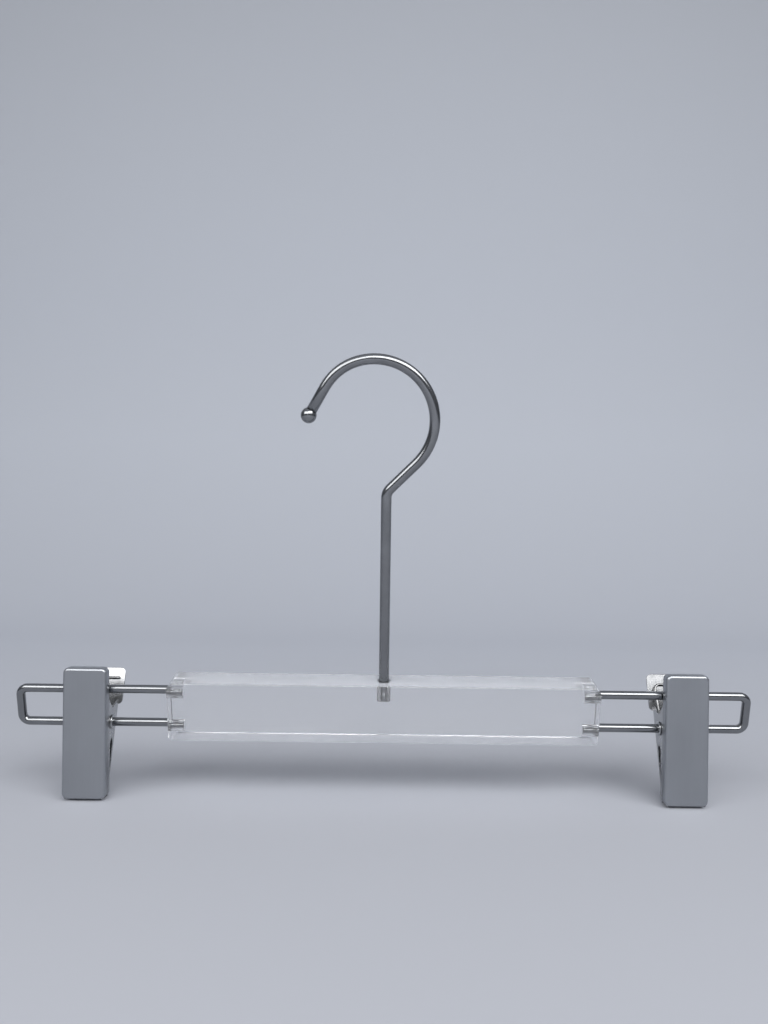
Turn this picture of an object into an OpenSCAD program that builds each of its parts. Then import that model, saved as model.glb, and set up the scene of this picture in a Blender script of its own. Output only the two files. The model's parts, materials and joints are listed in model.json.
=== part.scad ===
// A trouser hanger: a clear bar with a swivel hook, a wire loop at each end and
// a sprung clip on each loop. It stands on its clips and leans forward on them.
// Sizes are in millimetres. The floor is z = 0, the front faces -Y.

/* [Bar] */
// Length of the clear bar
bar_len = 202; // [150:1:230]
// Height of the bar
bar_h = 28.6; // [27:0.2:40]
// Thickness of the bar
bar_t = 14; // [11:0.5:20]
// Radius of the bar's two upper corners
bar_top_r = 4; // [1:0.5:8]
// Radius of the bar's two lower corners
bar_bottom_r = 3; // [1:0.2:6]
// Rounding of the polished edges
bar_edge_r = 0.6; // [0.3:0.1:1.2]

/* [Wire loops] */
// How far a loop stands out from the end of the bar
loop_reach = 72.6; // [66:0.2:100]
// Diameter of the loop wire
wire_d = 4; // [3:0.1:4.6]
// Distance between the two arms of a loop, centre to centre
arm_gap = 16.8; // [15.6:0.1:18]
// Radius of a loop's bends, along the middle of the wire
loop_bend_r = 3.5; // [2.6:0.1:6]
// Depth of the sockets in the ends of the bar
socket_depth = 7.1; // [6:0.1:12]
// Outer diameter of the clear sleeves in the sockets
sleeve_d = 6; // [5.6:0.1:7]

/* [Hook] */
// Diameter of the hook's rod
hook_d = 4.8; // [4:0.1:5.5]
// Length of the stem from the bar to the corner of the neck
stem_len = 90; // [40:1:120]
// Lean of the neck from the stem
neck_angle = 45; // [30:1:55]
// Length of the neck from its corner to the round of the hook
neck_len = 18.5; // [12:0.5:30]
// Radius of the bend between stem and neck
neck_bend_r = 6; // [3.5:0.5:12]
// Radius of the round of the hook, along the middle of the rod
hook_r = 26.6; // [20:0.2:34]
// Turn of the round of the hook
hook_turn = 146; // [120:1:160]
// Radius of the tighter round towards the tip
tip_r = 24.4; // [18:0.2:32]
// Turn of the tighter round
tip_turn = 49; // [30:1:60]
// Straight length from the round to the centre of the ball
tail_len = 14.3; // [8:0.1:20]
// Diameter of the ball at the tip
ball_d = 7; // [6.2:0.1:10]
// Depth of the socket in the top of the bar
hook_socket_depth = 9; // [7:0.5:14]
// Wall of the clear bush that the stem turns in
bush_wall = 0.7; // [0.6:0.05:1.2]
// Depth of the groove round the foot of the stem
groove_depth = 0.45; // [0.3:0.05:0.8]
// Width of that groove
groove_w = 1.4; // [1:0.1:2]

/* [Clips] */
// Distance of the left clip from the middle of the hanger
left_clip_x = 138.8; // [122:0.2:150]
// Distance of the right clip from the middle of the hanger
right_clip_x = 141; // [122:0.5:150]
// Width of a clip
clip_w = 20.2; // [18:0.1:24]
// Height of a clip's front
clip_h = 62; // [58:0.5:75]
// Height of the pivot above the foot of the clip
pivot_z = 34.6; // [33:0.2:38]
// Distance of the pivot behind the clip's front face
pivot_depth = 10.8; // [10.2:0.1:13]
// Lean of the bar and the hook towards the front, against the clips
lean = 12; // [8:0.5:14]

/* [Front of a clip] */
// Depth of the drawn front cover
cover_depth = 4.6; // [3:0.1:5]
// Sheet thickness of the cover
cover_t = 0.6; // [0.4:0.05:0.8]
// Corner radius of the cover, seen from the front
cover_corner_r = 2.6; // [1.6:0.1:4]
// Radius of the rolled edge between the cover's face and walls
cover_roll_r = 1.4; // [1:0.1:2]
// Sheet thickness of the jaws
jaw_t = 0.9; // [0.6:0.05:1.1]
// Radius of the ears round the pivot
ear_r = 4.8; // [4.2:0.1:5.4]
// Distance of the front jaw's lower edges behind the clip's front face
edge_depth = 8.3; // [7.4:0.1:9]
// Distance of the front jaw's nose behind the clip's front face
nose_depth = 7.2; // [5:0.1:7.6]
// Radius of the arch below the ears
arch_r = 3.3; // [2:0.1:4]
// Distance of the top of the arch below the pivot
arch_drop = 7.6; // [6.5:0.1:9]

/* [Back of a clip] */
// Lean of the back jaw from upright
back_angle = 19; // [17:0.5:22]
// Distance of the back jaw's rear face from the pivot
back_reach = 10.1; // [9.6:0.1:12]
// Length of the handle above the pivot
handle_len = 26.5; // [22:0.5:32]
// Corner radius of the handle
handle_corner_r = 2.2; // [1:0.1:4]
// Depth of the back jaw's flanges
flange_depth = 2.8; // [2:0.1:3.4]
// Distance that the rolled lip of the handle stands out
lip_out = 0.9; // [0.4:0.1:2]

/* [Pads] */
// Height of the pads
pad_h = 5; // [3:0.5:8]
// Height of the pads above the foot of the clip
pad_z = 7; // [5:0.5:12]
// Thickness of the front pad
pad_t = 2.3; // [1.5:0.1:2.6]
// Gap between the two pads when the jaws are closed
pad_gap = 0.3; // [0.2:0.1:0.6]

/* [Pivot and spring] */
// Wall of the pivot tube
tube_wall = 0.5; // [0.4:0.05:0.8]
// Width of the flared rim of the pivot tube, beyond the tube
rim_w = 0.7; // [0.5:0.1:1.4]
// Thickness of that rim
rim_t = 0.8; // [0.5:0.1:1]
// Diameter of the spring's wire
spring_d = 1.3; // [1:0.1:1.5]
// Full turns of the spring's coil
coil_turns = 6; // [3:1:6]
// Height above the pivot at which the spring presses on the jaws
spring_up = 17.7; // [15:0.1:20]
// Distance of the spring's legs from the middle of the clip, at their tops
leg_x = 7; // [6.4:0.1:7.4]
// Radius of the corners of the spring's legs
leg_corner_r = 3; // [1.5:0.1:4]

/* [Clearances] */
// Clearance of a glued or pressed fit, on the radius or per face
fit_gap = 0.02; // [0.01:0.01:0.05]
// Clearance of the pivot tube on the wire and of the stem in its bush, on the radius
slide_gap = 0.08; // [0.04:0.01:0.1]
// Clearance of the ears on the pivot tube, on the radius
turn_gap = 0.06; // [0.03:0.01:0.1]
// Gap between the cover and the front jaw
seat_gap = 0.05; // [0.02:0.01:0.1]
// Side gap between the ears of the front jaw and those of the back jaw
side_gap = 0.15; // [0.1:0.05:0.3]
// Gap between the upper wire and the front jaw, where the wire rests
stop_gap = 0.2; // [0.1:0.05:0.4]
// Gap round the spring's coil
coil_gap = 0.3; // [0.2:0.05:0.5]

/* [Hidden] */
$fn = 48;
beyond = 1;
sharp = 0.01;
hair = 0.02;

// The bar, about the lower wire
bar_low = (arm_gap - bar_h) / 2;
bar_top = bar_low + bar_h;
wire_r = wire_d / 2;
end_play = 0.4;
loop_end = bar_len / 2 + loop_reach - wire_r;
arm_start = bar_len / 2 - socket_depth + end_play;

// The hook's rod, in the upright plane x, z of the leaning body
// Every other stretch of the rod is a hair thinner and laps into its neighbours, so
// that the stretches join as one rod.
hook_rod_r = hook_d / 2;
slim_d = hook_d - hair;
rod_lap = 0.05;
stem_foot = [0, bar_top - hook_socket_depth + end_play];
neck_corner = [0, bar_top + stem_len];
neck_tangent = neck_bend_r * tan(neck_angle / 2);
neck_way = [sin(neck_angle), cos(neck_angle)];
neck_start = neck_corner + neck_tangent * neck_way;
neck_end = neck_corner + neck_len * neck_way;
hook_centre = neck_end + hook_r * [-cos(neck_angle), sin(neck_angle)];
round_end = hook_turn - neck_angle;
tip_centre = hook_centre + (hook_r - tip_r) * [cos(round_end), sin(round_end)];
tail_angle = round_end + tip_turn;
tail_start = tip_centre + tip_r * [cos(tail_angle), sin(tail_angle)];
tail_way = [-sin(tail_angle), cos(tail_angle)];
ball_centre = tail_start + tail_len * tail_way;
groove_z = (stem_foot.y + bar_top) / 2;
bush_d = hook_d + 2 * (slide_gap + bush_wall);
hook_top = hook_centre.y + hook_r + hook_rod_r;

// The clip, in its own frame: x across, y to the back and z up, about the pivot
foot = -pivot_z;
face_y = -pivot_depth;
clip_top = clip_h - pivot_z;
jaw_front_y = face_y + cover_t + seat_gap;
jaw_top = clip_top - cover_t - seat_gap;
jaw_low = foot + cover_t + seat_gap;
jaw_inset = cover_t + seat_gap - hair;
jaw_half = clip_w / 2 - cover_t - seat_gap;
upper_wire = arm_gap * [-sin(lean), cos(lean)];
stop_y = upper_wire.x - wire_r - stop_gap;
stop_run = 1.2;
stop_low = upper_wire.y - wire_r - stop_run;
snip = 1;
nose_run = 2;
lower_edge_y = face_y + edge_depth;
nose_y = face_y + nose_depth;
ear_half = jaw_half - jaw_t;
front_pad_half = ear_half - side_gap;
back_half = ear_half - side_gap;
back_inner_half = back_half - jaw_t;

// The back jaw, in the frame turned by back_angle: n to the back, u up along it
back_front = back_reach - jaw_t;
back_edge = back_reach - flange_depth;
function along_back(z, n) = (z + n * sin(back_angle)) / cos(back_angle);
function back_point(n, u) =
    [u * sin(back_angle) + n * cos(back_angle), u * cos(back_angle) - n * sin(back_angle)];
function back_face_y(z, n) = back_point(n, along_back(z, n)).x;
flange_foot = 6;
flange_low = along_back(foot + flange_foot, back_edge);
flange_snip = 0.8;
fold_out_r = 1.3;
fold_in_r = fold_out_r - jaw_t;
wing_up = 11;
wing_lap = 1;
lip_h = 2;
handle_half = clip_w / 2;
lip_centre = [back_reach + lip_out - jaw_t / 2, handle_len];

// The pivot tube
tube_in_r = wire_r + slide_gap;
tube_r = tube_in_r + tube_wall;
ear_hole_r = tube_r + turn_gap;
rim_x = jaw_half + side_gap / 2;
tube_half = rim_x + rim_t;

// The spring: a coil round the tube, a leg up each jaw and a bar across each leg
spring_r = spring_d / 2;
coil_r = tube_r + coil_gap + spring_r;
coil_half = back_inner_half - coil_gap - spring_r;
press_gap = 0.1;
back_press_n = back_front - spring_r - press_gap;
back_press = back_point(back_press_n, along_back(spring_up, back_press_n));
front_press = [jaw_front_y + jaw_t + spring_r + press_gap, spring_up];
back_leave = atan2(back_press.y, back_press.x) - acos(coil_r / norm(back_press));
front_leave = atan2(front_press.y, front_press.x) + acos(coil_r / norm(front_press));
coil_sweep = back_leave - (front_leave - 360) + 360 * coil_turns;
curl_steps = 8;
corner_steps = 6;
leg_steps = [0.35, 0.7];
spring_sides = 6;

// Middle line of the spring, from the bar on the back jaw to that on the front jaw
coil_start = [-coil_half, coil_r * cos(back_leave), coil_r * sin(back_leave)];
coil_end = [coil_half, coil_r * cos(front_leave), coil_r * sin(front_leave)];
back_corner = [-leg_x, back_press.x, back_press.y];
front_corner = [leg_x, front_press.x, front_press.y];
back_tip = [leg_x + spring_r, back_press.x, back_press.y];
front_tip = [-leg_x - spring_r, front_press.x, front_press.y];
coil_steps = ceil(coil_sweep / 360 * curl_steps);
spring_line = [
    back_tip,
    back_tip - [spring_d, 0, 0],
    each rounded_corner(back_tip, back_corner, coil_start, leg_corner_r, corner_steps),
    for (s = leg_steps) (1 - s) * back_corner + s * coil_start,
    for (i = [0 : coil_steps])
        let (
            s = i / coil_steps,
            a = back_leave - s * coil_sweep
        )
        [-coil_half + 2 * coil_half * s, coil_r * cos(a), coil_r * sin(a)],
    for (s = leg_steps) (1 - s) * coil_end + s * front_corner,
    each rounded_corner(coil_end, front_corner, front_tip, leg_corner_r, corner_steps),
    front_tip + [spring_d, 0, 0],
    front_tip
];
skip = curl_steps - 3;
spring_gap = min([
    for (i = [0 : len(spring_line) - 1])
        for (j = [i + skip : 1 : len(spring_line) - 1])
            norm(spring_line[i] - spring_line[j])
]) - spring_d;
echo(spring_gap = spring_gap);

// Where the pivots stand, so that the whole hanger is centred over the floor
front_most = -(hook_centre.y + hook_r) * sin(lean) - hook_rod_r;
back_most = back_point(lip_centre.x, lip_centre.y).x + jaw_t / 2;
pivot_y = -(front_most + back_most) / 2;

// Point where a line from point p touches the circle of radius r about the origin
function touch(p, r, side) =
    let (a = atan2(p.y, p.x) + side * acos(r / norm(p)))
    r * [cos(a), sin(a)];

function unit(v) = v / norm(v);

// Points of the arc of radius r that rounds the corner b between points a and c
function rounded_corner(a, b, c, r, steps) =
    let (
        u1 = unit(a - b),
        u2 = unit(c - b),
        half = acos(u1 * u2) / 2,
        middle = b + unit(u1 + u2) * r / sin(half),
        v1 = (b + u1 * r / tan(half) - middle) / r,
        v2 = (b + u2 * r / tan(half) - middle) / r,
        sweep = acos(v1 * v2)
    )
    [for (i = [0 : steps])
        let (s = i / steps)
        middle + r * (sin((1 - s) * sweep) * v1 + sin(s * sweep) * v2) / sin(sweep)];

// Rings of a round tube along the points p, without twist
function tube_rings(p, r, sides) =
    let (
        last = len(p) - 1,
        way = [for (i = [0 : last]) unit(p[min(i + 1, last)] - p[max(i - 1, 0)])],
        side0 = unit(cross(way[0], [0.3, 0.5, 0.8]))
    )
    [for (i = 0, n = side0; i <= last;
          i = i + 1, n = i <= last ? unit(n - (n * way[i]) * way[i]) : n)
        let (m = cross(way[i], n))
        for (k = [0 : sides - 1])
            p[i] + r * (cos(360 * k / sides) * n + sin(360 * k / sides) * m)];

module swept_tube(p, r, sides) {
    rings = tube_rings(p, r, sides);
    last = (len(p) - 1) * sides;
    faces = [
        for (i = [0 : len(p) - 2])
            for (k = [0 : sides - 1])
                let (
                    a = i * sides + k,
                    b = i * sides + (k + 1) % sides
                )
                each [[a, b, a + sides], [b, b + sides, a + sides]],
        for (k = [1 : sides - 2]) [0, k + 1, k],
        for (k = [1 : sides - 2]) [last, last + k, last + k + 1]
    ];
    polyhedron(points = rings, faces = faces, convexity = 8);
}

// Things on the leaning body: the bar, the loops and the hook
module on_body() {
    translate([0, pivot_y, pivot_z])
        rotate([lean, 0, 0])
            children();
}

// Things on a clip that hangs at x
module on_clip(x) {
    translate([x, pivot_y, pivot_z])
        children();
}

module turned_back() {
    rotate([-back_angle, 0, 0])
        children();
}

// A rectangle w by h standing on y = 0, with upper and lower corner radii
module rounded_plate(w, h, top_r, low_r) {
    polygon([
        [-w / 2 + low_r, 0], [w / 2 - low_r, 0], [w / 2, low_r], [w / 2, h - top_r],
        [w / 2 - top_r, h], [-w / 2 + top_r, h], [-w / 2, h - top_r], [-w / 2, low_r]
    ]);
    for (side = [-1, 1]) {
        translate([side * (w / 2 - low_r), low_r])
            circle(r = low_r);
        translate([side * (w / 2 - top_r), h - top_r])
            circle(r = top_r);
    }
}

// Profiles in x, z pushed to the back, and profiles in y, z pushed across
module push_back(depth) {
    translate([0, depth, 0])
        rotate([90, 0, 0])
            linear_extrude(depth)
                children();
}

module push_across(from, to) {
    translate([from, 0, 0])
        rotate([90, 0, 90])
            linear_extrude(to - from)
                children();
}

// A straight and a bent stretch of round rod in the x, z plane. One that has a lap
// reaches that far into the stretches before and after it.
module straight_rod(from, to, d, lap = 0) {
    step = to - from;
    translate([from.x, 0, from.y])
        rotate([0, atan2(step.x, step.y), 0])
            translate([0, 0, -lap])
                cylinder(h = norm(step) + 2 * lap, d = d);
}

module bent_rod(centre, r, start, turn, d, lap = 0) {
    extra = lap / r * 180 / PI;
    translate([centre.x, 0, centre.y])
        rotate([90, 0, 0])
            rotate([0, 0, start - extra])
                rotate_extrude(angle = turn + 2 * extra)
                    translate([r, 0])
                        circle(d = d);
}

// A strip of sheet seen from its edge, round at its bends and ends
module strip(points, t) {
    for (i = [0 : len(points) - 2]) {
        step = points[i + 1] - points[i];
        translate(points[i]) {
            circle(d = t);
            rotate([0, 0, atan2(step.y, step.x)])
                translate([0, -t / 2])
                    square([norm(step), t]);
        }
    }
    translate(points[len(points) - 1])
        circle(d = t);
}

module bar_socket(z, side) {
    translate([side * (bar_len / 2 - socket_depth), 0, z])
        rotate([0, side * 90, 0])
            cylinder(h = socket_depth + beyond, d = sleeve_d + 2 * fit_gap);
}

module acrylic_bar() {
    color([0.93, 0.96, 0.98, 0.55])
        on_body()
            difference() {
                translate([0, 0, bar_low])
                    intersection() {
                        translate([0, -bar_t / 2, 0])
                            push_back(bar_t)
                                rounded_plate(bar_len, bar_h, bar_top_r, bar_bottom_r);
                        push_across(-bar_len / 2, bar_len / 2)
                            rounded_plate(bar_t, bar_h, bar_edge_r, bar_edge_r);
                        translate([0, -bar_t / 2, 0])
                            linear_extrude(bar_h)
                                rounded_plate(bar_len, bar_t, bar_edge_r, bar_edge_r);
                    }
                for (side = [-1, 1]) {
                    bar_socket(0, side);
                    bar_socket(arm_gap, side);
                }
                translate([0, 0, bar_top - hook_socket_depth])
                    cylinder(h = hook_socket_depth + beyond, d = bush_d + 2 * fit_gap);
            }
}

module hook() {
    color("slategray")
        on_body() {
            difference() {
                straight_rod(stem_foot, neck_corner - [0, neck_tangent], hook_d);
                translate([0, 0, groove_z - groove_w / 2])
                    difference() {
                        cylinder(h = groove_w, r = hook_rod_r + beyond);
                        translate([0, 0, -beyond])
                            cylinder(h = groove_w + 2 * beyond, r = hook_rod_r - groove_depth);
                    }
            }
            bent_rod(neck_corner + [neck_bend_r, -neck_tangent], neck_bend_r,
                180 - neck_angle, neck_angle, slim_d, rod_lap);
            straight_rod(neck_start, neck_end, hook_d);
            bent_rod(hook_centre, hook_r, -neck_angle, hook_turn, slim_d, rod_lap);
            bent_rod(tip_centre, tip_r, round_end, tip_turn, hook_d);
            straight_rod(tail_start, ball_centre, slim_d, rod_lap);
        }
}

module hook_tip() {
    color("gray")
        on_body()
            difference() {
                translate([ball_centre.x, 0, ball_centre.y])
                    sphere(d = ball_d);
                straight_rod(ball_centre - ball_d * tail_way,
                    ball_centre + (rod_lap + fit_gap) * tail_way, hook_d + 2 * fit_gap);
            }
}

module hook_bush() {
    lip_w = groove_w - 4 * slide_gap;
    color([0.9, 0.94, 0.96, 0.5])
        on_body()
            difference() {
                translate([0, 0, stem_foot.y])
                    cylinder(h = bar_top - stem_foot.y, d = bush_d);
                translate([0, 0, stem_foot.y - beyond])
                    cylinder(h = groove_z - lip_w / 2 - stem_foot.y + beyond,
                        r = hook_rod_r + slide_gap);
                translate([0, 0, groove_z + lip_w / 2])
                    cylinder(h = bar_top + beyond - groove_z, r = hook_rod_r + slide_gap);
                translate([0, 0, groove_z - lip_w])
                    cylinder(h = 2 * lip_w, r = hook_rod_r - groove_depth + slide_gap);
            }
}

// A loop of wire on the right, or its mirror image on the left
module loop(side) {
    bend_x = loop_end - loop_bend_r;
    mirror([side < 0 ? 1 : 0, 0, 0]) {
        straight_rod([arm_start, 0], [bend_x, 0], wire_d);
        bent_rod([bend_x, loop_bend_r], loop_bend_r, -90, 90, wire_d);
        straight_rod([loop_end, loop_bend_r], [loop_end, arm_gap - loop_bend_r], wire_d);
        bent_rod([bend_x, arm_gap - loop_bend_r], loop_bend_r, 0, 90, wire_d);
        straight_rod([bend_x, arm_gap], [arm_start, arm_gap], wire_d);
    }
}

module left_loop() {
    color("silver")
        on_body()
            loop(-1);
}

module right_loop() {
    color("silver")
        on_body()
            loop(1);
}

module sleeve(z, side) {
    color([0.9, 0.94, 0.96, 0.5])
        on_body()
            translate([side * arm_start, 0, z])
                rotate([0, side * 90, 0])
                    difference() {
                        cylinder(h = bar_len / 2 - arm_start, d = sleeve_d);
                        translate([0, 0, -beyond])
                            cylinder(h = bar_len, r = wire_r + fit_gap);
                    }
}

module left_upper_sleeve() {
    sleeve(arm_gap, -1);
}

module left_lower_sleeve() {
    sleeve(0, -1);
}

module right_upper_sleeve() {
    sleeve(arm_gap, 1);
}

module right_lower_sleeve() {
    sleeve(0, 1);
}

// A block with the outside of a drawn box: rounded corners and rolled front edges
module drawn_form(w, h, d, corner, roll) {
    intersection() {
        push_back(d)
            rounded_plate(w, h, corner, corner);
        translate([0, 0, h / 2])
            push_across(-w / 2, w / 2)
                rotate([0, 0, -90])
                    rounded_plate(h, d + roll, sharp, roll);
        linear_extrude(h)
            rounded_plate(w, d + roll, sharp, roll);
    }
}

module front_cover() {
    color("dimgray")
        translate([0, face_y, foot])
            difference() {
                drawn_form(clip_w, clip_h, cover_depth, cover_corner_r, cover_roll_r);
                translate([0, cover_t, cover_t])
                    drawn_form(clip_w - 2 * cover_t, clip_h - 2 * cover_t, cover_depth,
                        cover_corner_r - cover_t, cover_roll_r - cover_t);
            }
}

// Outline of a side of the front jaw, in y and z
module front_side() {
    shoulder = [stop_y, stop_low];
    arch_top = [lower_edge_y + arch_r, -arch_drop];
    ear_up = touch(shoulder, ear_r, -1);
    ear_down = touch(arch_top, ear_r, 1);
    difference() {
        union() {
            polygon([
                [jaw_front_y, jaw_top + snip], [stop_y - 2 * snip, jaw_top + snip],
                [stop_y, jaw_top - snip],
                shoulder, ear_up, [0, 0], ear_down, arch_top,
                [arch_top.x, arch_top.y - arch_r], [lower_edge_y, arch_top.y - arch_r],
                [lower_edge_y, jaw_low + snip],
                [lower_edge_y - 2 * snip, jaw_low - snip], [jaw_front_y, jaw_low - snip]
            ]);
            circle(r = ear_r);
        }
        translate(arch_top - [0, arch_r])
            circle(r = arch_r);
        circle(r = ear_hole_r);
    }
}

module front_jaw() {
    web_y = jaw_front_y + jaw_t / 2;
    nose_mid = nose_y - jaw_t / 2;
    pad_top = foot + pad_z + pad_h;
    color("gainsboro")
        intersection() {
            translate([0, jaw_front_y - hair, jaw_low - hair])
                drawn_form(2 * (jaw_half + hair), jaw_top - jaw_low + 2 * hair,
                    pivot_depth + ear_r, cover_corner_r - jaw_inset, cover_roll_r - jaw_inset);
            union() {
                for (side = [0, 1])
                    mirror([side, 0, 0])
                        push_across(ear_half, jaw_half)
                            front_side();
                push_across(-ear_half - jaw_t / 2, ear_half + jaw_t / 2)
                    strip([
                        [web_y, jaw_top + snip], [web_y, -arch_drop],
                        [nose_mid, pad_top + nose_run], [nose_mid, foot + nose_run]
                    ], jaw_t);
            }
        }
}

module front_pad() {
    color("white")
        translate([-front_pad_half, nose_y + fit_gap, foot + pad_z])
            cube([2 * front_pad_half, pad_t, pad_h]);
}

// Outline of a side of the back jaw, in n and u
module back_side() {
    low = along_back(foot, back_reach);
    shoulder = [back_front, wing_up];
    arch_n = back_edge - arch_r;
    arch_top = [arch_n, along_back(-arch_drop, arch_n)];
    ear_up = touch(shoulder, ear_r, 1);
    ear_down = touch(arch_top, ear_r, -1);
    difference() {
        union() {
            polygon([
                [back_reach, low - beyond], [back_reach, wing_up + wing_lap],
                [back_front, wing_up + wing_lap],
                shoulder, ear_up, [0, 0], ear_down, arch_top,
                [arch_n, arch_top.y - arch_r], [back_edge, arch_top.y - arch_r],
                [back_edge + flange_snip, flange_low + snip], [back_front, flange_low],
                [back_front, low - beyond]
            ]);
            circle(r = ear_r);
        }
        translate(arch_top - [0, arch_r])
            circle(r = arch_r);
        circle(r = ear_hole_r);
    }
}

// Section of the bent channel of the back jaw, in x and n
module back_channel() {
    deep = back_reach + ear_r + beyond;
    difference() {
        translate([0, back_reach - deep])
            rounded_plate(2 * back_half, deep, fold_out_r, sharp);
        translate([0, back_reach - deep - beyond])
            rounded_plate(2 * back_inner_half, deep + beyond - jaw_t, fold_in_r, sharp);
    }
}

module back_jaw() {
    low = along_back(foot, back_reach) - beyond;
    handle_low = wing_up - 2 * wing_lap;
    color("gainsboro")
        difference() {
            turned_back() {
                intersection() {
                    translate([0, 0, low])
                        linear_extrude(wing_up + wing_lap - low)
                            back_channel();
                    push_across(-back_half, back_half)
                        back_side();
                }
                translate([0, back_front, handle_low])
                    push_back(jaw_t)
                        rounded_plate(2 * handle_half, handle_len - handle_low,
                            handle_corner_r, handle_corner_r);
                push_across(handle_corner_r - handle_half, handle_half - handle_corner_r)
                    strip([[back_reach - jaw_t / 2, handle_len - lip_h], lip_centre], jaw_t);
            }
            translate([-clip_w, -2 * clip_w, foot - clip_w])
                cube([2 * clip_w, 4 * clip_w, clip_w]);
        }
}

module back_pad() {
    half = back_inner_half - fold_in_r;
    front = nose_y + pad_t + pad_gap;
    low = foot + pad_z;
    high = low + pad_h;
    seat = back_front - fit_gap;
    color("white")
        push_across(-half, half)
            polygon([
                [front, low], [back_face_y(low, seat), low],
                [back_face_y(high, seat), high], [front, high]
            ]);
}

module pivot_tube() {
    rim_r = tube_r + rim_w;
    color("silver")
        rotate([0, 90, 0])
            rotate_extrude()
                difference() {
                    union() {
                        translate([0, -tube_half])
                            square([tube_r, 2 * tube_half]);
                        for (side = [-1, 1]) {
                            translate([0, side * (rim_x + rim_t / 2) - rim_t / 2])
                                square([rim_r - rim_t / 2, rim_t]);
                            translate([rim_r - rim_t / 2, side * (rim_x + rim_t / 2)])
                                circle(d = rim_t);
                        }
                    }
                    translate([-beyond, -tube_half - beyond])
                        square([tube_in_r + beyond, 2 * (tube_half + beyond)]);
                }
}

module spring() {
    color("darkgray")
        swept_tube(spring_line, spring_r, spring_sides);
}

module left_front_cover() {
    on_clip(-left_clip_x)
        front_cover();
}

module left_front_jaw() {
    on_clip(-left_clip_x)
        front_jaw();
}

module left_front_pad() {
    on_clip(-left_clip_x)
        front_pad();
}

module left_pivot_tube() {
    on_clip(-left_clip_x)
        pivot_tube();
}

module left_spring() {
    on_clip(-left_clip_x)
        spring();
}

module left_back_jaw() {
    on_clip(-left_clip_x)
        back_jaw();
}

module left_back_pad() {
    on_clip(-left_clip_x)
        back_pad();
}

module right_front_cover() {
    on_clip(right_clip_x)
        front_cover();
}

module right_front_jaw() {
    on_clip(right_clip_x)
        front_jaw();
}

module right_front_pad() {
    on_clip(right_clip_x)
        front_pad();
}

module right_pivot_tube() {
    on_clip(right_clip_x)
        pivot_tube();
}

module right_spring() {
    on_clip(right_clip_x)
        spring();
}

module right_back_jaw() {
    on_clip(right_clip_x)
        back_jaw();
}

module right_back_pad() {
    on_clip(right_clip_x)
        back_pad();
}

acrylic_bar();
hook();
hook_tip();
hook_bush();
left_loop();
right_loop();
left_upper_sleeve();
left_lower_sleeve();
right_upper_sleeve();
right_lower_sleeve();
left_front_cover();
left_front_jaw();
left_front_pad();
left_pivot_tube();
left_spring();
left_back_jaw();
left_back_pad();
right_front_cover();
right_front_jaw();
right_front_pad();
right_pivot_tube();
right_spring();
right_back_jaw();
right_back_pad();
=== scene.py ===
"""The looks of a trouser hanger: a clear bar, steel wires and a hook, and two sprung clips.

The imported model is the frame. The hook, the loops and the springs are swept again as smooth
round wire, and the clips' fronts are drawn again with rolled edges. The other nodes keep their
shape and get their materials here.
"""

import json
import math

import bpy
from mathutils import Matrix, Vector


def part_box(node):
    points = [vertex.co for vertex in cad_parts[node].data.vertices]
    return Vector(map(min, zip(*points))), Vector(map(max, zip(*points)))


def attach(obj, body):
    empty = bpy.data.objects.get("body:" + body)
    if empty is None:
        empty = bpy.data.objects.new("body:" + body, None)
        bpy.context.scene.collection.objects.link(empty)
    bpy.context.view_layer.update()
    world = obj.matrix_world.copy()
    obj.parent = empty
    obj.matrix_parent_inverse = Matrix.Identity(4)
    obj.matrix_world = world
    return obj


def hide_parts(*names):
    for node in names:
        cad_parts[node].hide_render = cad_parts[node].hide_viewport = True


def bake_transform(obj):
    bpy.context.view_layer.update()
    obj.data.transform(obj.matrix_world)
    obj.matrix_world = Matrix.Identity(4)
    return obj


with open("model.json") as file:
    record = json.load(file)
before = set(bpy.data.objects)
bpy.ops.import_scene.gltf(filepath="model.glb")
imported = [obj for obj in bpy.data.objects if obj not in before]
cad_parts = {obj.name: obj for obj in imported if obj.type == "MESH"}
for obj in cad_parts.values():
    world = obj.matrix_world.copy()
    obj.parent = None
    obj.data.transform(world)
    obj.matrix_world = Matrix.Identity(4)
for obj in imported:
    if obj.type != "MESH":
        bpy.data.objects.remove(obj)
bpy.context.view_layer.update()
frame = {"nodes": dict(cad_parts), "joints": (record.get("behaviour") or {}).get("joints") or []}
nodes = frame["nodes"]
joints = {joint["name"]: joint for joint in frame["joints"]}

MM = 0.001
SIDES = ("left", "right")

# The camera stands level with the middle of the hanger, close in front of it
PHOTO_HEIGHT = 1024
FOCAL_PIXELS = 776
CAMERA_DISTANCE = 370 * MM
CAMERA_HEIGHT = 136.1 * MM
CAMERA_OFF_CENTRE = -0.95 * MM
CAMERA_ROLL = math.radians(0.73)
SENSOR_HEIGHT = 36

# The studio, in metres: a seamless sweep of paper, two soft boxes in front, a dim room around
# The paper's colours paint light on it: the plain floor, then lighter colours further back and low
# on the wall, and dimmer again towards the top of the wall.
PAPER_FLOOR = (0.46, 0.475, 0.52)
FAR_FLOOR_PAINTED_LIGHT = (0.55, 0.575, 0.635)
LOW_WALL_PAINTED_LIGHT = (0.58, 0.61, 0.672)
HIGH_WALL_PAINTED_LIGHT = (0.51, 0.535, 0.585)
FLOOR_REACH = 1.6
PAPER_HALF = 3.5
SWEEP_START = 0.45
SWEEP_RADIUS = 0.5
WALL_HEIGHT = 2.4
WORLD_LOW = (0.06, 0.063, 0.07)
WORLD_HIGH = (0.17, 0.177, 0.195)
WORLD_SEEN = 2.6
WORLD_HORIZON = 0.15
WORLD_ZENITH = 0.9
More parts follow.
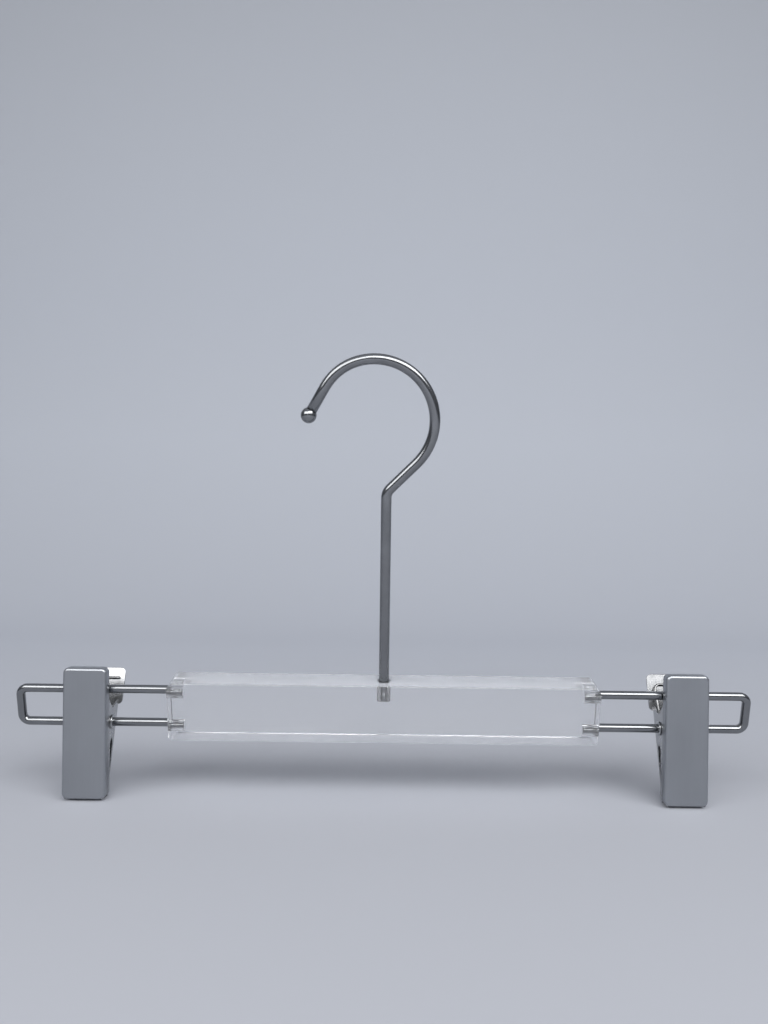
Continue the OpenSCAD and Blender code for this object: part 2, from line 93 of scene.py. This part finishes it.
# The painted light's ramp on the paper: its share along the floor towards the sweep, and the
# height up the wall where it reaches the top colour.
PAINTED_LIGHT_TOP = 1.1
PAINTED_LIGHT_ON_FLOOR = 0.1
MIDDLE = Vector((0, 0, 0.05))
BOX_DISTANCE = 1.6
BOX_WIDE = 1.6
BOX_TALL = 0.85

# The leaning body, about the lower wires: x across, z up along it
LEAN = math.radians(12)
BAR_LENGTH = 202 * MM
BAR_LOW = -5.9 * MM
BAR_TOP = 22.7 * MM
EDGE_DEPTH = 1.5 * MM
EDGE_FACING = 0.7
ARM_START = 94.3 * MM
ARM_GAP = 16.8 * MM
LOOP_END = 171.6 * MM
LOOP_BEND = 3.5 * MM
LOOP_WIRE = 4.0 * MM
LOOP_SIDES = 40

# The hook, in the same leaning plane
ROD = 4.77 * MM
ROD_FOOT = 14.1 * MM
GROOVE_MIDDLE = 18.4 * MM
GROOVE_WIDTH = 1.4 * MM
GROOVE_DEPTH = 0.45 * MM
GROOVE_STEP = 0.02 * MM
NECK_CORNER = 112.7 * MM
NECK_ANGLE = math.radians(45)
NECK_LENGTH = 18.5 * MM
NECK_BEND = 6.0 * MM
HOOK_RADIUS = 26.6 * MM
HOOK_TURN = math.radians(146)
TIP_RADIUS = 24.4 * MM
TIP_TURN = math.radians(49)
TAIL_LENGTH = 14.3 * MM
ROD_SIDES = 48

# The clips' drawn fronts
COVER_DEPTH = 4.6 * MM
COVER_SHEET = 0.6 * MM
COVER_CORNER = 2.6 * MM
COVER_ROLL = 1.4 * MM
COVER_RIM = 0.12 * MM
COVER_LIFT = 1.1 * MM
COVER_MARGIN = 0.4 * MM
COVER_LEAST_CORNER = 0.3 * MM

# The torsion springs, as in the clip's own frame: x across, y to the back and z up from the pivot
SPRING_WIRE = 1.3 * MM
COIL_RADIUS = 3.53 * MM
COIL_HALF = 6.55 * MM
COIL_TURNS = 6
COIL_STEPS = 32
SPRING_SIDES = 14
LEG_X = 7.0 * MM
LEG_CORNER = 3.0 * MM
PRESS_HEIGHT = 17.7 * MM
FRONT_PRESS_Y = -8.5 * MM
BACK_ANGLE = math.radians(19)
BACK_PRESS_REACH = 8.45 * MM


def pivot_of(side):
    """The axis of a clip, on its lower wire, in metres."""
    return Vector(joints[f"{side}_jaw"]["pos_m"])


def on_body(x, z):
    """A point of the body's middle plane, in metres."""
    pivot = pivot_of("left")
    return Vector((x, pivot.y - z * math.sin(LEAN), pivot.z + z * math.cos(LEAN)))


def up_body(point):
    """The height of a point above the lower wires, along the leaning body."""
    pivot = pivot_of("left")
    return (point.z - pivot.z) * math.cos(LEAN) - (point.y - pivot.y) * math.sin(LEAN)


# Materials


class Graph:
    """A small helper to wire a material's nodes."""

    def __init__(self, name):
        self.material = bpy.data.materials.new(name)
        self.material.use_nodes = True
        self.tree = self.material.node_tree
        self.shader = self.tree.nodes["Principled BSDF"]

    def node(self, kind, **settings):
        made = self.tree.nodes.new(kind)
        for key, value in settings.items():
            setattr(made, key, value)
        return made

    def link(self, source, target):
        self.tree.links.new(source, target)

    def set(self, **values):
        for key, value in values.items():
            self.shader.inputs[key.replace("_", " ")].default_value = value

    def place(self, scale=(1, 1, 1)):
        """Object coordinates, stretched by scale."""
        mapping = self.node("ShaderNodeMapping")
        mapping.inputs["Scale"].default_value = scale
        self.link(self.node("ShaderNodeTexCoord").outputs["Object"], mapping.inputs["Vector"])
        return mapping.outputs["Vector"]

    def noise(self, scale, stretch=(1, 1, 1), detail=4.0, roughness=0.55):
        texture = self.node("ShaderNodeTexNoise")
        texture.inputs["Scale"].default_value = scale
        texture.inputs["Detail"].default_value = detail
        texture.inputs["Roughness"].default_value = roughness
        self.link(self.place(stretch), texture.inputs["Vector"])
        return texture.outputs["Fac"]

    def spread(self, value, low, high, start=0.3, end=0.7):
        """Value, which runs from start to end, spread between low and high."""
        ranged = self.node("ShaderNodeMapRange")
        limits = {"From Min": start, "From Max": end, "To Min": low, "To Max": high}
        for key, number in limits.items():
            ranged.inputs[key].default_value = number
        self.link(value, ranged.inputs["Value"])
        return ranged.outputs["Result"]

    def add(self, first, second):
        made = self.node("ShaderNodeMath", operation="ADD")
        self.link(first, made.inputs[0])
        self.link(second, made.inputs[1])
        return made.outputs["Value"]

    def colours(self, value, *stops):
        """A colour ramp over value, from (place, colour) stops."""
        ramp = self.node("ShaderNodeValToRGB")
        elements = ramp.color_ramp.elements
        while len(elements) < len(stops):
            elements.new(0.5)
        for element, (place, colour) in zip(elements, stops):
            element.position = place
            element.color = (*colour, 1)
        self.link(value, ramp.inputs["Fac"])
        return ramp.outputs["Color"]

    def paint(self, value, low, high):
        """The base colour, mottled from low to high by value."""
        self.link(self.colours(value, (0.3, low), (0.7, high)), self.shader.inputs["Base Color"])

    def roughen(self, value, low, high):
        self.link(self.spread(value, low, high), self.shader.inputs["Roughness"])

    def bump(self, height, strength, distance):
        made = self.node("ShaderNodeBump")
        made.inputs["Strength"].default_value = strength
        made.inputs["Distance"].default_value = distance
        self.link(height, made.inputs["Height"])
        self.link(made.outputs["Normal"], self.shader.inputs["Normal"])


def grey(value, blue=1.0):
    """A grey with its blue, and a part of its green, times blue."""
    return (value, value * (1 + 0.4 * (blue - 1)), value * blue)


def polished_wire():
    """Drawn steel rod, plated and polished, with a faint cloudiness."""
    g = Graph("polished_wire")
    g.set(Metallic=1.0)
    cloudy = g.noise(90, detail=3)
    marks = g.noise(500, detail=3)
    g.paint(cloudy, grey(0.23, 1.06), grey(0.28, 1.06))
    g.roughen(marks, 0.15, 0.21)
    g.bump(cloudy, 0.04, 0.05 * MM)
    return g.material


def brushed_front():
    """Satin plating with a fine upright grain."""
    g = Graph("brushed_front")
    g.set(Metallic=1.0)
    grain = g.noise(260, (6, 1, 0.16), detail=6, roughness=0.65)
    cloudy = g.noise(28, (1, 1, 0.6), detail=3)
    g.paint(g.add(g.spread(grain, -0.05, 0.05), cloudy), grey(0.35, 1.10), grey(0.40, 1.10))
    g.roughen(grain, 0.34, 0.40)
    g.bump(grain, 0.03, 0.04 * MM)
    return g.material


def bright_sheet():
    """Pressed sheet steel with a bright, slightly uneven plating."""
    g = Graph("bright_sheet")
    g.set(Metallic=1.0)
    waves = g.noise(70, detail=2)
    smudges = g.noise(240, detail=5)
    g.paint(smudges, grey(0.43, 1.03), grey(0.52, 1.03))
    g.roughen(smudges, 0.22, 0.30)
    g.bump(waves, 0.10, 0.3 * MM)
    return g.material


def spring_wire():
    """Drawn spring steel, darker than the plating."""
    g = Graph("spring_wire")
    g.set(Metallic=1.0)
    drawn = g.noise(700, detail=5)
    g.paint(drawn, grey(0.22), grey(0.30))
    g.roughen(drawn, 0.18, 0.28)
    g.bump(drawn, 0.06, 0.05 * MM)
    return g.material


def clear_acrylic():
    """Polished acrylic with a faint haze."""
    g = Graph("clear_acrylic")
    g.set(Transmission_Weight=0.95, IOR=1.49)
    haze = g.noise(40, detail=3)
    g.paint(haze, (0.975, 0.98, 0.985), (0.99, 0.99, 0.995))
    g.roughen(haze, 0.015, 0.03)
    return g.material


def acrylic_edge():
    """The sawn and polished edges of the acrylic, slightly milky."""
    g = Graph("acrylic_edge")
    g.set(Transmission_Weight=0.78, IOR=1.49)
    haze = g.noise(60, detail=3)
    g.paint(haze, (0.93, 0.95, 0.985), (0.945, 0.965, 0.99))
    g.roughen(haze, 0.13, 0.17)
    return g.material


def clear_plastic(name, tint):
    """Moulded sleeves and bush, less clear than the acrylic."""
    g = Graph(name)
    g.set(Transmission_Weight=0.96, IOR=1.46)
    haze = g.noise(300, detail=3)
    g.paint(haze, grey(tint - 0.02, 1.03), grey(tint + 0.02, 1.03))
    g.roughen(haze, 0.04, 0.08)
    return g.material


def grip_rubber():
    g = Graph("grip_rubber")
    grain = g.noise(1500, detail=4)
    g.paint(grain, (0.82, 0.82, 0.80), (0.90, 0.90, 0.88))
    g.roughen(grain, 0.50, 0.70)
    g.bump(grain, 0.3, 0.08 * MM)
    return g.material


def paper_with_painted_light():
    """Seamless paper, very slightly uneven, with painted light: lighter towards the back and low
    on the wall, dimmer again towards the top.
    """
    g = Graph("paper_with_painted_light")
    place = g.node("ShaderNodeSeparateXYZ")
    g.link(g.place(), place.inputs["Vector"])
    fibre = g.spread(g.noise(400, detail=4), -0.004, 0.004)
    back = g.spread(place.outputs["Y"], 0, PAINTED_LIGHT_ON_FLOOR, 0, SWEEP_START)
    up = g.spread(place.outputs["Z"], 0, 1 - PAINTED_LIGHT_ON_FLOOR, 0, PAINTED_LIGHT_TOP)
    # The level of painted light, which rises towards the back and up the wall, plus a faint random
    # unevenness of the paper.
    level = g.add(g.add(back, up), fibre)
    stops = (
        (0.01, PAPER_FLOOR),
        (0.09, FAR_FLOOR_PAINTED_LIGHT),
        (0.30, LOW_WALL_PAINTED_LIGHT),
        (1.0, HIGH_WALL_PAINTED_LIGHT),
    )
    g.link(g.colours(level, *stops), g.shader.inputs["Base Color"])
    g.set(Roughness=0.85, Specular_IOR_Level=0.2)
    return g.material


def dress(node, material):
    mesh = nodes[node].data
    mesh.materials.clear()
    mesh.materials.append(material)


# Meshes


def add_object(name, mesh):
    made = bpy.data.objects.new(name, mesh)
    bpy.context.scene.collection.objects.link(made)
    return made


def add_mesh(name, verts, faces, material):
    mesh = bpy.data.meshes.new(name)
    mesh.from_pydata([tuple(v) for v in verts], [], faces)
    mesh.update()
    mesh.shade_smooth()
    mesh.materials.append(material)
    return add_object(name, mesh)


def swept_wire(name, points, radii, sides, material):
    """A round wire along the points, as a closed mesh."""
    last = len(points) - 1
    ways = [
        (points[min(i + 1, last)] - points[max(i - 1, 0)]).normalized()
        for i in range(last + 1)
    ]
    off_every_wire = Vector((0.3, 0.5, 0.8))
    side = ways[0].cross(off_every_wire).normalized()
    verts, faces = [], []
    for point, way, radius in zip(points, ways, radii):
        side = (side - side.dot(way) * way).normalized()
        other = way.cross(side)
        for k in range(sides):
            angle = 2 * math.pi * k / sides
            verts.append(point + radius * (math.cos(angle) * side + math.sin(angle) * other))
    for i in range(last):
        for k in range(sides):
            a, b = i * sides + k, i * sides + (k + 1) % sides
            faces.append((a, b, b + sides, a + sides))
    faces.append(tuple(reversed(range(sides))))
    faces.append(tuple(last * sides + k for k in range(sides)))
    return add_mesh(name, verts, faces, material)


def arc(centre, radius, start, turn, steps):
    """Points of an arc in the plane of x and z, as pairs."""
    return [
        (
            centre[0] + radius * math.cos(start + turn * i / steps),
            centre[1] + radius * math.sin(start + turn * i / steps),
        )
        for i in range(steps + 1)
    ]


def rounded_corner(before, corner, after, radius, steps):
    """Points of the arc that rounds a corner between two straight stretches."""
    u1, u2 = (before - corner).normalized(), (after - corner).normalized()
    half = u1.angle(u2) / 2
    middle = corner + (u1 + u2).normalized() * radius / math.sin(half)
    v1 = (corner + u1 * radius / math.tan(half) - middle) / radius
    v2 = (corner + u2 * radius / math.tan(half) - middle) / radius
    sweep = v1.angle(v2)
    points = []
    for i in range(steps + 1):
        part = i / steps
        way = math.sin((1 - part) * sweep) * v1 + math.sin(part * sweep) * v2
        points.append(middle + radius * way / math.sin(sweep))
    return points


# The leaning body


def add_loops(material):
    """The two wire loops, each one smooth wire from socket to socket."""
    bend_x = LOOP_END - LOOP_BEND
    radius = LOOP_WIRE / 2
    for side, way in zip(SIDES, (-1, 1)):
        flat = [(ARM_START, 0), (ARM_START + MM, 0)]
        flat += arc((bend_x, LOOP_BEND), LOOP_BEND, -math.pi / 2, math.pi / 2, steps=16)
        flat += arc((bend_x, ARM_GAP - LOOP_BEND), LOOP_BEND, 0, math.pi / 2, steps=16)
        flat += [(ARM_START + MM, ARM_GAP), (ARM_START, ARM_GAP)]
        points = [on_body(way * x, z) for x, z in flat]
        radii = [radius] * len(points)
        made = swept_wire(f"{side}_wire_loop", points, radii, LOOP_SIDES, material)
        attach(made, "bar")
        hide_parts(f"{side}_loop")


def hook_line():
    """The hook's middle line as pairs of x and z, and the rod's radius at each."""
    radius = ROD / 2
    shallow = radius - GROOVE_DEPTH
    low, high = GROOVE_MIDDLE - GROOVE_WIDTH / 2, GROOVE_MIDDLE + GROOVE_WIDTH / 2
    foot = (ROD_FOOT, low - GROOVE_STEP, low, high, high + GROOVE_STEP, high + MM)
    flat = [(0, z) for z in foot]
    radii = [radius, radius, shallow, shallow, radius, radius]
    lead = NECK_BEND * math.tan(NECK_ANGLE / 2)
    bend = arc((NECK_BEND, NECK_CORNER - lead), NECK_BEND, math.pi, -NECK_ANGLE, steps=20)
    neck_x, neck_z = math.sin(NECK_ANGLE), math.cos(NECK_ANGLE)
    end = (NECK_LENGTH * neck_x, NECK_CORNER + NECK_LENGTH * neck_z)
    centre = (end[0] - HOOK_RADIUS * neck_z, end[1] + HOOK_RADIUS * neck_x)
    turned = HOOK_TURN - NECK_ANGLE
    step = HOOK_RADIUS - TIP_RADIUS
    tip_centre = (centre[0] + step * math.cos(turned), centre[1] + step * math.sin(turned))
    tail_angle = turned + TIP_TURN
    flat += bend + arc(centre, HOOK_RADIUS, -NECK_ANGLE, HOOK_TURN, steps=96)
    flat += arc(tip_centre, TIP_RADIUS, turned, TIP_TURN, steps=32)[1:]
    x, z = flat[-1]
    flat.append((x - TAIL_LENGTH * math.sin(tail_angle), z + TAIL_LENGTH * math.cos(tail_angle)))
    return flat, radii + [radius] * (len(flat) - len(radii))


def add_hook(material):
    flat, radii = hook_line()
    points = [on_body(x, z) for x, z in flat]
    made = swept_wire("swivel_rod", points, radii, ROD_SIDES, material)
    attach(made, "swivel_hook")
    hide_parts("hook")


def add_bar(clear, edge):
    """The clear bar, with its sawn edges in a milky finish of their own."""
    mesh = nodes["acrylic_bar"].data.copy()
    mesh.materials.clear()
    mesh.materials.append(clear)
    mesh.materials.append(edge)
    front = Vector((0, -math.cos(LEAN), -math.sin(LEAN)))
    for face in mesh.polygons:
        up = up_body(face.center)
        rim = abs(face.center.x) > BAR_LENGTH / 2 - EDGE_DEPTH
        near = rim or up > BAR_TOP - EDGE_DEPTH or up < BAR_LOW + EDGE_DEPTH
        face.material_index = int(near and abs(face.normal.dot(front)) < EDGE_FACING)
    mesh.shade_smooth()
    made = add_object("clear_bar", mesh)
    made.modifiers.new("even_normals", "WEIGHTED_NORMAL")
    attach(made, "bar")
    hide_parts("acrylic_bar")


# The clips


def plate_ring(half_w, half_h, corner, steps=10):
    """A rounded rectangle about the origin, as pairs of x and z, anticlockwise."""
    points = []
    for quarter, (sx, sz) in enumerate(((1, 1), (-1, 1), (-1, -1), (1, -1))):
        centre = (sx * (half_w - corner), sz * (half_h - corner))
        points += arc(centre, corner, quarter * math.pi / 2, math.pi / 2, steps)
    return points


def rolled_edge(inset, depth, radius, parts):
    """Pairs of inset and depth round a quarter turn, from its face (0) to its wall (1)."""
    points = []
    for part in parts:
        angle = math.pi / 2 * part
        points.append(
            (inset + radius * (1 - math.sin(angle)), depth + radius * (1 - math.cos(angle)))
        )
    return points


def cover_profile():
    """A drawn front's section from its face round the rim to its inside."""
    steps = 8
    out = [i / steps for i in range(steps + 1)]
    back = [1 - i / steps for i in range(steps + 1)]
    flat = COVER_ROLL + COVER_MARGIN
    return (
        [(flat, 0)]
        + rolled_edge(0, 0, COVER_ROLL, out)
        + [
            (0, COVER_DEPTH - COVER_RIM),
            (COVER_RIM, COVER_DEPTH),
            (COVER_SHEET - COVER_RIM, COVER_DEPTH),
            (COVER_SHEET, COVER_DEPTH - COVER_RIM),
        ]
        + rolled_edge(COVER_SHEET, COVER_SHEET, COVER_ROLL - COVER_SHEET, back)
        + [(flat, COVER_SHEET)]
    )


def add_covers(material):
    """The drawn fronts: a flat face, rolled edges, walls, and the sheet's thickness inside."""
    profile = cover_profile()
    for side in SIDES:
        low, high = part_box(f"{side}_front_cover")
        half_w, half_h = (high[0] - low[0]) / 2, (high[2] - low[2] - COVER_LIFT) / 2
        middle = ((low[0] + high[0]) / 2, (low[2] + COVER_LIFT + high[2]) / 2)
        verts, faces = [], []
        for inset, depth in profile:
            corner = max(COVER_CORNER - inset, COVER_LEAST_CORNER)
            ring = plate_ring(half_w - inset, half_h - inset, corner)
            verts += [(middle[0] + x, low[1] + depth, middle[1] + z) for x, z in ring]
        count = len(verts) // len(profile)
        for i in range(len(profile) - 1):
            for k in range(count):
                a, b = i * count + k, i * count + (k + 1) % count
                faces.append((a, a + count, b + count, b))
        last = (len(profile) - 1) * count
        faces.append(tuple(range(count)))
        faces.append(tuple(reversed(range(last, last + count))))
        made = add_mesh(f"{side}_rolled_cover", verts, faces, material)
        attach(made, f"{side}_front")
        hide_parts(f"{side}_front_cover")


def spring_path():
    """The spring's middle line about the pivot, from the back jaw to the front jaw."""
    along = (PRESS_HEIGHT + BACK_PRESS_REACH * math.sin(BACK_ANGLE)) / math.cos(BACK_ANGLE)
    back_y = along * math.sin(BACK_ANGLE) + BACK_PRESS_REACH * math.cos(BACK_ANGLE)
    presses = [(back_y, PRESS_HEIGHT), (FRONT_PRESS_Y, PRESS_HEIGHT)]
    turned = [math.atan2(z, y) for y, z in presses]
    opened = [math.acos(COIL_RADIUS / math.hypot(y, z)) for y, z in presses]
    leave_back, leave_front = turned[0] - opened[0], turned[1] + opened[1]
    sweep = leave_back - (leave_front - 2 * math.pi) + 2 * math.pi * COIL_TURNS
    coil = []
    steps = COIL_TURNS * COIL_STEPS
    for i in range(steps + 1):
        part = i / steps
        angle = leave_back - part * sweep
        y, z = COIL_RADIUS * math.cos(angle), COIL_RADIUS * math.sin(angle)
        coil.append(Vector((COIL_HALF * (2 * part - 1), y, z)))
    radius = SPRING_WIRE / 2
    back_corner, front_corner = Vector((-LEG_X, *presses[0])), Vector((LEG_X, *presses[1]))
    back_tip = Vector((LEG_X + radius, *presses[0]))
    front_tip = Vector((-LEG_X - radius, *presses[1]))
    bend_steps = 12
    return (
        [back_tip, back_tip - Vector((SPRING_WIRE, 0, 0))]
        + rounded_corner(back_tip, back_corner, coil[0], LEG_CORNER, bend_steps)
        + [back_corner.lerp(coil[0], part) for part in (0.4, 0.6, 0.8, 0.95)]
        + coil
        + [coil[-1].lerp(front_corner, part) for part in (0.05, 0.2, 0.4, 0.6)]
        + rounded_corner(coil[-1], front_corner, front_tip, LEG_CORNER, bend_steps)
        + [front_tip + Vector((SPRING_WIRE, 0, 0)), front_tip]
    )


def add_springs(material):
    """Round wire in place of the solid springs, from the back jaw to the front jaw."""
    path = spring_path()
    radii = [SPRING_WIRE / 2] * len(path)
    for side in SIDES:
        pivot = pivot_of(side)
        points = [pivot + point for point in path]
        made = swept_wire(f"{side}_torsion_spring", points, radii, SPRING_SIDES, material)
        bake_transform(made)
        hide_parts(f"{side}_spring")


def dress_nodes(wire, sheet, bush, sleeve, grip):
    dress("hook_bush", bush)
    dress("hook_tip", wire)
    for side in SIDES:
        dress(f"{side}_upper_sleeve", sleeve)
        dress(f"{side}_lower_sleeve", sleeve)
        for piece in ("front_jaw", "back_jaw", "pivot_tube"):
            dress(f"{side}_{piece}", sheet)
        dress(f"{side}_front_pad", grip)
        dress(f"{side}_back_pad", grip)


# Camera, floor and lights


def add_camera():
    camera = bpy.data.cameras.new("camera")
    camera.sensor_fit = "VERTICAL"
    camera.sensor_height = SENSOR_HEIGHT
    camera.lens = FOCAL_PIXELS / PHOTO_HEIGHT * SENSOR_HEIGHT
    camera.clip_start = 0.01
    holder = add_object("camera", camera)
    depth = pivot_of("left").y - CAMERA_DISTANCE
    place = Matrix.Translation((CAMERA_OFF_CENTRE, depth, CAMERA_HEIGHT))
    level = Matrix.Rotation(math.pi / 2, 4, "X")
    holder.matrix_world = place @ level @ Matrix.Rotation(CAMERA_ROLL, 4, "Z")
    bpy.context.scene.camera = holder


def add_studio():
    """A seamless paper sweep: floor, curve and wall in one strip."""
    steps = 24
    profile = [(-FLOOR_REACH, 0.0), (SWEEP_START, 0.0)]
    for i in range(1, steps + 1):
        angle = math.pi / 2 * i / steps
        y = SWEEP_START + SWEEP_RADIUS * math.sin(angle)
        profile.append((y, SWEEP_RADIUS * (1 - math.cos(angle))))
    profile.append((SWEEP_START + SWEEP_RADIUS, WALL_HEIGHT))
    verts, faces = [], []
    for y, z in profile:
        verts += [(-PAPER_HALF, y, z), (PAPER_HALF, y, z)]
    for i in range(len(profile) - 1):
        a = 2 * i
        faces.append((a, a + 1, a + 3, a + 2))
    add_mesh("paper", verts, faces, paper_with_painted_light())


def add_softbox(name, bearing, height, watts):
    """A soft box aimed at the hanger, its bearing and height seen from there in degrees."""
    bearing, height = math.radians(bearing), math.radians(height)
    ahead = math.cos(height)
    way = Vector((math.sin(bearing) * ahead, -math.cos(bearing) * ahead, math.sin(height)))
    light = bpy.data.lights.new(name, "AREA")
    light.shape = "RECTANGLE"
    light.size, light.size_y = BOX_WIDE, BOX_TALL
    light.energy = watts
    holder = add_object(name, light)
    holder.location = MIDDLE + BOX_DISTANCE * way
    holder.rotation_euler = (-way).to_track_quat("-Z", "Y").to_euler()


def add_world():
    """Soft light from above that falls off towards the horizon, in a paler room to be seen."""
    world = bpy.data.worlds.new("studio")
    world.use_nodes = True
    tree = world.node_tree
    background = tree.nodes["Background"]
    way = tree.nodes.new("ShaderNodeTexCoord").outputs["Generated"]
    height = tree.nodes.new("ShaderNodeSeparateXYZ")
    tree.links.new(way, height.inputs["Vector"])
    ramp = tree.nodes.new("ShaderNodeValToRGB")
    stops = ((WORLD_HORIZON, WORLD_LOW), (WORLD_ZENITH, WORLD_HIGH))
    for element, (place, colour) in zip(ramp.color_ramp.elements, stops):
        element.position, element.color = place, (*colour, 1)
    tree.links.new(height.outputs["Z"], ramp.inputs["Fac"])
    rays = tree.nodes.new("ShaderNodeLightPath")
    seen = rays.outputs["Is Camera Ray"]
    for kind in ("Is Glossy Ray", "Is Transmission Ray"):
        either = tree.nodes.new("ShaderNodeMath")
        either.operation = "MAXIMUM"
        tree.links.new(seen, either.inputs[0])
        tree.links.new(rays.outputs[kind], either.inputs[1])
        seen = either.outputs["Value"]
    strength = tree.nodes.new("ShaderNodeMapRange")
    strength.inputs["To Min"].default_value = 1
    strength.inputs["To Max"].default_value = WORLD_SEEN
    tree.links.new(seen, strength.inputs["Value"])
    tree.links.new(strength.outputs["Result"], background.inputs["Strength"])
    tree.links.new(ramp.outputs["Color"], background.inputs["Color"])
    bpy.context.scene.world = world


add_camera()
add_studio()
add_world()
add_softbox("left_box", bearing=-34, height=35, watts=15)
add_softbox("right_box", bearing=30, height=43, watts=22)

wire = polished_wire()
add_bar(clear_acrylic(), acrylic_edge())
add_loops(wire)
add_hook(wire)
add_covers(brushed_front())
add_springs(spring_wire())
bush, sleeve = clear_plastic("clear_bush", 0.95), clear_plastic("clear_sleeve", 0.79)
dress_nodes(wire, bright_sheet(), bush, sleeve, grip_rubber())

bpy.context.scene.view_settings.view_transform = "Standard"
